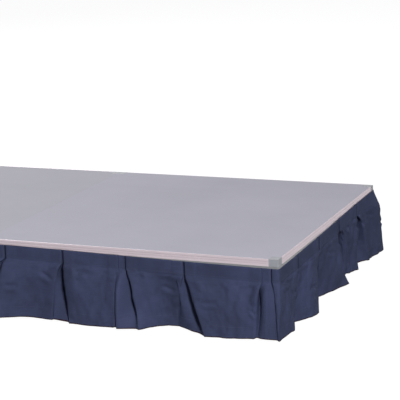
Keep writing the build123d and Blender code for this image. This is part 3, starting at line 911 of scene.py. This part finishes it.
    relief = clothRelief(dice, cutAt, wrappedPlace, hidden, heights, fall)
    grid += relief[:, :, None] * gridNormals(grid)
    foldColumns = [int(np.where((cellKnot == c) & (cellShare == 0))[0][0]) for c in centres]
    return grid, cutAt, wrappedPlace, hidden, foldColumns, cut[-1]


def clothRelief(dice, cutAt, place, hidden, heights, fall):
    across = np.broadcast_to(cutAt, heights.shape)
    down = deckTop - heights
    shown = np.where(hidden, 0.35, 1.0)[None, :]
    below = smoothStep(fall / 0.10)
    relief = np.zeros(heights.shape)
    for (depth, sizeAcross, sizeDown), slant in zip(skirt["swells"], (0, 0.3, 0)):
        relief += depth * softNoise(dice, across + slant * down, down, sizeAcross, sizeDown)
    relief *= below * shown
    headerWave = softNoise(dice, across, down * 0, 0.060, 1.0)
    relief += 0.0006 * np.abs(headerWave) * (1 - below) * shown
    creases = []
    for start in np.arange(-2.4, 4.8, 0.127):
        first = start + dice.uniform(0.0, 0.06)
        drop = dice.uniform(0.09, 0.19)
        creases.append((first, drop, first + dice.uniform(0.04, 0.11), drop + dice.uniform(-0.012, 0.045),
                        dice.uniform(0.0018, 0.0042), dice.uniform(0.005, 0.008)))
    flatPlace = np.broadcast_to(place, heights.shape)
    for x0, y0, x1, y1, depth, width in creases:
        span = np.array((x1 - x0, y1 - y0))
        length = np.hypot(*span)
        t = ((flatPlace - x0) * span[0] + (down - y0) * span[1]) / length**2
        away = ((flatPlace - x0) * -span[1] + (down - y0) * span[0]) / length
        ends = smoothStep(t / 0.25) * smoothStep((1 - t) / 0.25)
        shape = -np.exp(-(away / width) ** 2) + 0.7 * np.exp(-((away - 2.0 * width) / (1.4 * width)) ** 2)
        relief += 1.6 * depth * shape * ends * np.where(hidden, 0.0, 1.0)[None, :]
    belowHead = fall * 0.21
    nearest = np.min([np.abs(place - corner) for corner in (-wide, *cornerPlaces())], axis=0)
    inView = (np.where(hidden, 0.0, 1.0) * smoothStep((nearest - 0.01) / 0.07))[None, :]
    relief -= 0.0012 * np.exp(-(belowHead / 0.003) ** 2) * inView * (fall > 0)
    bulge = 0.6 + 0.5 * softNoise(dice, across, down * 0, 0.045, 1.0)
    relief += 0.0042 * bulge * np.exp(-((belowHead - 0.013) / 0.009) ** 2) * inView
    for number, corner in enumerate(cornerPlaces()):
        away = place - corner
        near = np.exp(-(away / 0.10) ** 2) + np.exp(-((away + 2 * (wide + deep)) / 0.10) ** 2)
        sunk = smoothStep((deckTop - heights - 0.01) / 0.085)
        relief += skirt["cornerLift"][number] * near[None, :] * sunk
    return relief


def gridNormals(grid):
    across = np.roll(grid, -1, axis=1) - np.roll(grid, 1, axis=1)
    down = np.gradient(grid, axis=0)
    normal = np.cross(down, across)
    return normal / np.maximum(np.linalg.norm(normal, axis=2, keepdims=True), 1e-9)


def meshFromGrid(name, grid, uvs, material):
    rows, columns = grid.shape[:2]
    index = np.arange(rows * columns).reshape(rows, columns)
    quads = np.stack([index[:-1, :-1], index[1:, :-1], index[1:, 1:], index[:-1, 1:]], axis=-1)
    quads = quads.reshape(-1, 4)
    mesh = bpy.data.meshes.new(name)
    mesh.from_pydata(grid.reshape(-1, 3).tolist(), [], quads.tolist())
    layer = mesh.uv_layers.new(name="cut")
    flat = uvs.reshape(-1, 2)[quads.reshape(-1)]
    layer.data.foreach_set("uv", flat.astype(np.float32).reshape(-1))
    mesh.polygons.foreach_set("use_smooth", [True] * len(mesh.polygons))
    mesh.materials.append(material)
    piece = bpy.data.objects.new(name, mesh)
    scene.collection.objects.link(piece)
    return piece


stitch = {
    "halfLength": 0.0018,
    "section": ((-0.0003, 0.0002), (0.0003, 0.0002), (0.0002, 0.0008), (-0.0002, 0.0008)),   # across, outward
}


def stitchMesh(name, lines, material):
    points, faces = [], []
    for spots, tangents, normals in lines:
        for spot, along, out in zip(spots, tangents, normals):
            side = np.cross(along, out)
            base = len(points)
            for a in (-stitch["halfLength"], stitch["halfLength"]):
                for s, o in stitch["section"]:
                    points.append(tuple(spot + along * a + side * s + out * o))
            faces += [(base, base + 1, base + 2, base + 3), (base + 7, base + 6, base + 5, base + 4)]
            for k in range(4):
                nextK = (k + 1) % 4
                faces.append((base + k, base + 4 + k, base + 4 + nextK, base + nextK))
    mesh = bpy.data.meshes.new(name)
    mesh.from_pydata(points, [], faces)
    mesh.materials.append(material)
    piece = bpy.data.objects.new(name, mesh)
    scene.collection.objects.link(piece)
    return piece


def buildSkirt():
    grid, cutAt, place, hidden, foldColumns, total = buildSkirtGrid()
    normals = gridNormals(grid)
    # cut the loop in the folds nearest to the corners
    cutPlaces = (frontPlace(8), -skirt["besideCorner"], deep + skirt["firstBack"], deep + wide - 0.10)
    cuts = [min(foldColumns, key=lambda column: abs(place[column] - wanted)) for wanted in cutPlaces]
    sides = ("front", "right", "back", "left")
    overlap = 2
    for number, side in enumerate(sides):
        first, last = cuts[number], cuts[(number + 1) % 4]
        span = (last - first) % len(cutAt)
        columns = (np.arange(first - overlap, first + span + overlap + 1)) % len(cutAt)
        part = grid[:, columns].copy()
        for k in range(2 * overlap + 1):
            part[:, k] -= normals[:, columns[k]] * 0.0011 * (1 - k / (2 * overlap + 1))
        lengths = (cutAt[columns] - cutAt[columns[0]]) % total
        heights = grid[:, columns, 2]
        hemLine = heights[-1]
        uvs = np.stack([np.broadcast_to(lengths, heights.shape), heights - hemLine], axis=-1)
        piece = meshFromGrid(f"skirt_{side}_cloth", part, uvs, finishes["skirt_cloth"])
        thick = piece.modifiers.new("clothThickness", "SOLIDIFY")
        thick.thickness = skirt["thickness"]
        thick.offset = 0.0
        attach(piece, "platform")
        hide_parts(f"skirt_{side}")
        rowsAt = (skirt["headerRows"] - 2, skirt["headerRows"] + skirt["bodyRows"] - 1)
        lines = []
        for row in rowsAt:
            keep = np.where(~hidden[columns])[0] if row == rowsAt[0] else np.arange(len(columns))
            keep = keep[(keep > 3) & (keep < len(columns) - 4)]
            spots = part[row, keep]
            tangents = part[row, np.minimum(keep + 1, len(columns) - 1)] - part[row, keep - 1]
            tangents /= np.maximum(np.linalg.norm(tangents, axis=1, keepdims=True), 1e-9)
            lines.append((spots, tangents, normals[row, columns[keep]]))
        seam = stitchMesh(f"skirt_{side}_stitches", lines, finishes["thread"])
        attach(seam, "platform")


buildSkirt()
print("the skirt hangs")
